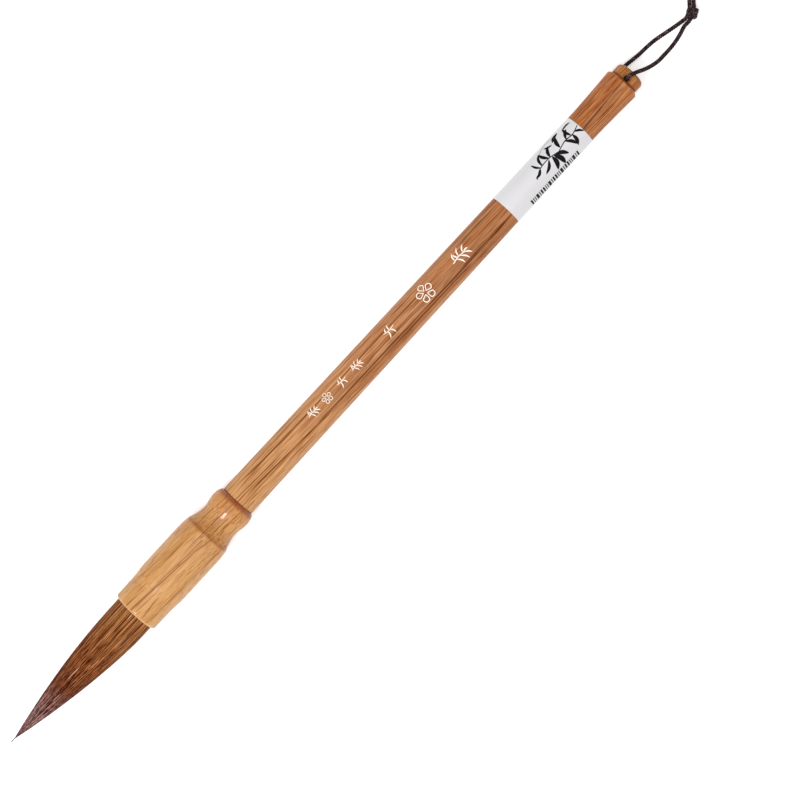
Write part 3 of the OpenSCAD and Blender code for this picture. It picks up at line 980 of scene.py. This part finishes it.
# Station, arc, length, heading and width of each leaf
BAMBOO_LEAVES = [
    (234.6, 0.6, 3.4, 116, 0.75), (235.2, 0.8, 4.2, 64, 0.90), (234.2, 0.4, 3.2, 196, 0.85),
    (238.4, 0.8, 4.0, 112, 1.05), (238.8, 0.8, 3.8, 58, 1.10), (238.0, 0.6, 4.4, 214, 1.00),
    (239.4, 0.6, 4.6, 252, 1.50), (240.0, 0.5, 4.8, 282, 1.60), (240.6, 0.3, 4.2, 318, 1.30),
    (242.6, 3.6, 3.6, 24, 1.30), (242.0, 3.2, 3.0, 152, 0.70), (243.0, 0.6, 4.0, 70, 1.25),
    (245.4, 0.9, 4.2, 302, 1.10), (246.0, 0.9, 3.4, 46, 0.95), (248.0, 0.7, 3.8, 96, 1.00),
    (248.4, 0.6, 3.8, 256, 1.20), (249.4, 0.8, 3.0, 318, 0.80), (247.4, 4.0, 3.4, 2, 0.75),
]
BAR_WIDTHS = (0.62, 0.30, 0.30, 0.90, 0.30, 0.62)
BAR_GAP = 0.38
BAR_COUNT = 24
BAR_START = 225.2
BAR_ARC = (-6.7, -5.3, -4.2)


def bar_strip():
    """A plain strip of bars, the same six over and over, in place of the printed code."""
    bars = []
    station = BAR_START
    for k in range(BAR_COUNT):
        width = BAR_WIDTHS[k % len(BAR_WIDTHS)]
        bars.append(([(station + width / 2, arc) for arc in BAR_ARC], width, 1.0))
        station += width + BAR_GAP
    return bars


def make_label_print():
    """Ink on the label: a sprig of bamboo and a strip of bars, both generic."""
    strokes = BAMBOO_STEMS + [leaf(*values) for values in BAMBOO_LEAVES] + bar_strip()
    points, faces = ribbon(strokes, label_r, INK_LIFT)
    obj = new_object("label_print", points, faces)
    s = Shader("label_ink")
    obj.data.materials.append(s.finish(linear(12, 11, 13), 0.5, Specular_IOR_Level=0.1))
    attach(obj, "handle")


def label_material():
    """White film with faint unevenness."""
    s = Shader("label_film")
    cloud = s.noise(s.stretched((60, 200, 200)), detail=2.0)
    grey = linear(226, 224, 226, 0.74)
    white = linear(232, 230, 232, 0.74)
    colour = s.mix(s.range(cloud, 0.3, 0.7), grey, white)
    return s.finish(colour, 0.38, s.bump(cloud, 0.2, 0.0001), Coat_Weight=0.15, Coat_Roughness=0.3)


# ---------------------------------------------------------------- other materials


def cord_material():
    """Dark brown-black braid with fine paler flecks, and paler where the strands stand up: a painted
    highlight that the tone carries.
    """
    s = Shader("cord")
    tone = s.node("Attribute", {"attribute_name": "tone"}).outputs["Fac"]
    fine = s.noise(s.stretched((2600, 2600, 2600)), detail=2.0)
    level = s.math("ADD", tone, s.range(fine, 0.35, 0.65, -0.27, 0.27), clamp=True)
    # the paler stops are reached on the strands' crowns: painted highlight
    stops = [(0.0, (5, 2, 3)), (0.45, (14, 7, 9)), (0.8, (52, 34, 37)), (1.0, (118, 90, 90))]
    colour = s.ramp(level, [(at, linear(*shade)) for at, shade in stops])
    return s.finish(colour, 0.62, s.bump(fine, 0.3, 0.00004), Specular_IOR_Level=0.12)


def plain(name, colour, roughness, scale):
    """A plain finish with fine unevenness."""
    s = Shader(name)
    fine = s.noise(s.stretched((scale,) * 3), detail=2.0)
    shade = s.mix(s.range(fine, 0.3, 0.7), tuple(0.85 * c for c in colour), colour)
    return s.finish(shade, roughness, s.bump(fine, 0.2, 0.00005))


# ---------------------------------------------------------------- studio


def area_light(name, at, aim, size, power):
    """A square lamp that faces a point."""
    data = bpy.data.lights.new(name, "AREA")
    data.shape = "SQUARE"
    data.size = size
    data.energy = power
    light = bpy.data.objects.new(name, data)
    light.location = at
    direction = np.array(aim, float) - np.array(at, float)
    tilt = math.atan2(math.hypot(direction[0], direction[1]), -direction[2])
    heading = math.atan2(direction[1], direction[0]) - math.pi / 2
    light.rotation_euler = (tilt, 0, heading)
    bpy.context.scene.collection.objects.link(light)


def make_floor():
    """A white floor that glows a little, so that it comes out as white as paper."""
    half = 3.0
    corners = [(-half, -half, 0), (half, -half, 0), (half, half, 0), (-half, half, 0)]
    floor = new_object("floor", corners, [(0, 1, 2, 3)])
    s = Shader("floor_white")
    glow = {"Emission_Color": (1, 1, 1, 1), "Emission_Strength": 0.38}
    floor.data.materials.append(s.finish((0.80, 0.80, 0.80), 0.9, Specular_IOR_Level=0.0, **glow))


def make_studio():
    """Broad soft light over the floor, with one smaller lamp for the small highlights."""
    make_floor()
    world = bpy.data.worlds.new("studio")
    world.use_nodes = True
    background = world.node_tree.nodes["Background"]
    background.inputs["Color"].default_value = (1, 1, 1, 1)
    background.inputs["Strength"].default_value = 0.58
    bpy.context.scene.world = world
    area_light("soft", (-0.35, -0.06, 1.2), (0, 0, 0), 1.5, 9.9)
    area_light("small", (-0.44, -0.01, 0.75), (-0.04, 0, 0), 0.17, 3.9)
    bpy.context.scene.view_settings.view_transform = "Standard"


# ---------------------------------------------------------------- scene

make_camera()
make_cord(cord_material())
make_tuft()
paint_wood()
paint("label_band", label_material())
paint("root_glue", plain("glue", linear(196, 150, 88), 0.25, 400))
paint("root_thread", plain("thread", linear(222, 214, 190), 0.7, 3000))
make_marks()
make_label_print()
make_studio()
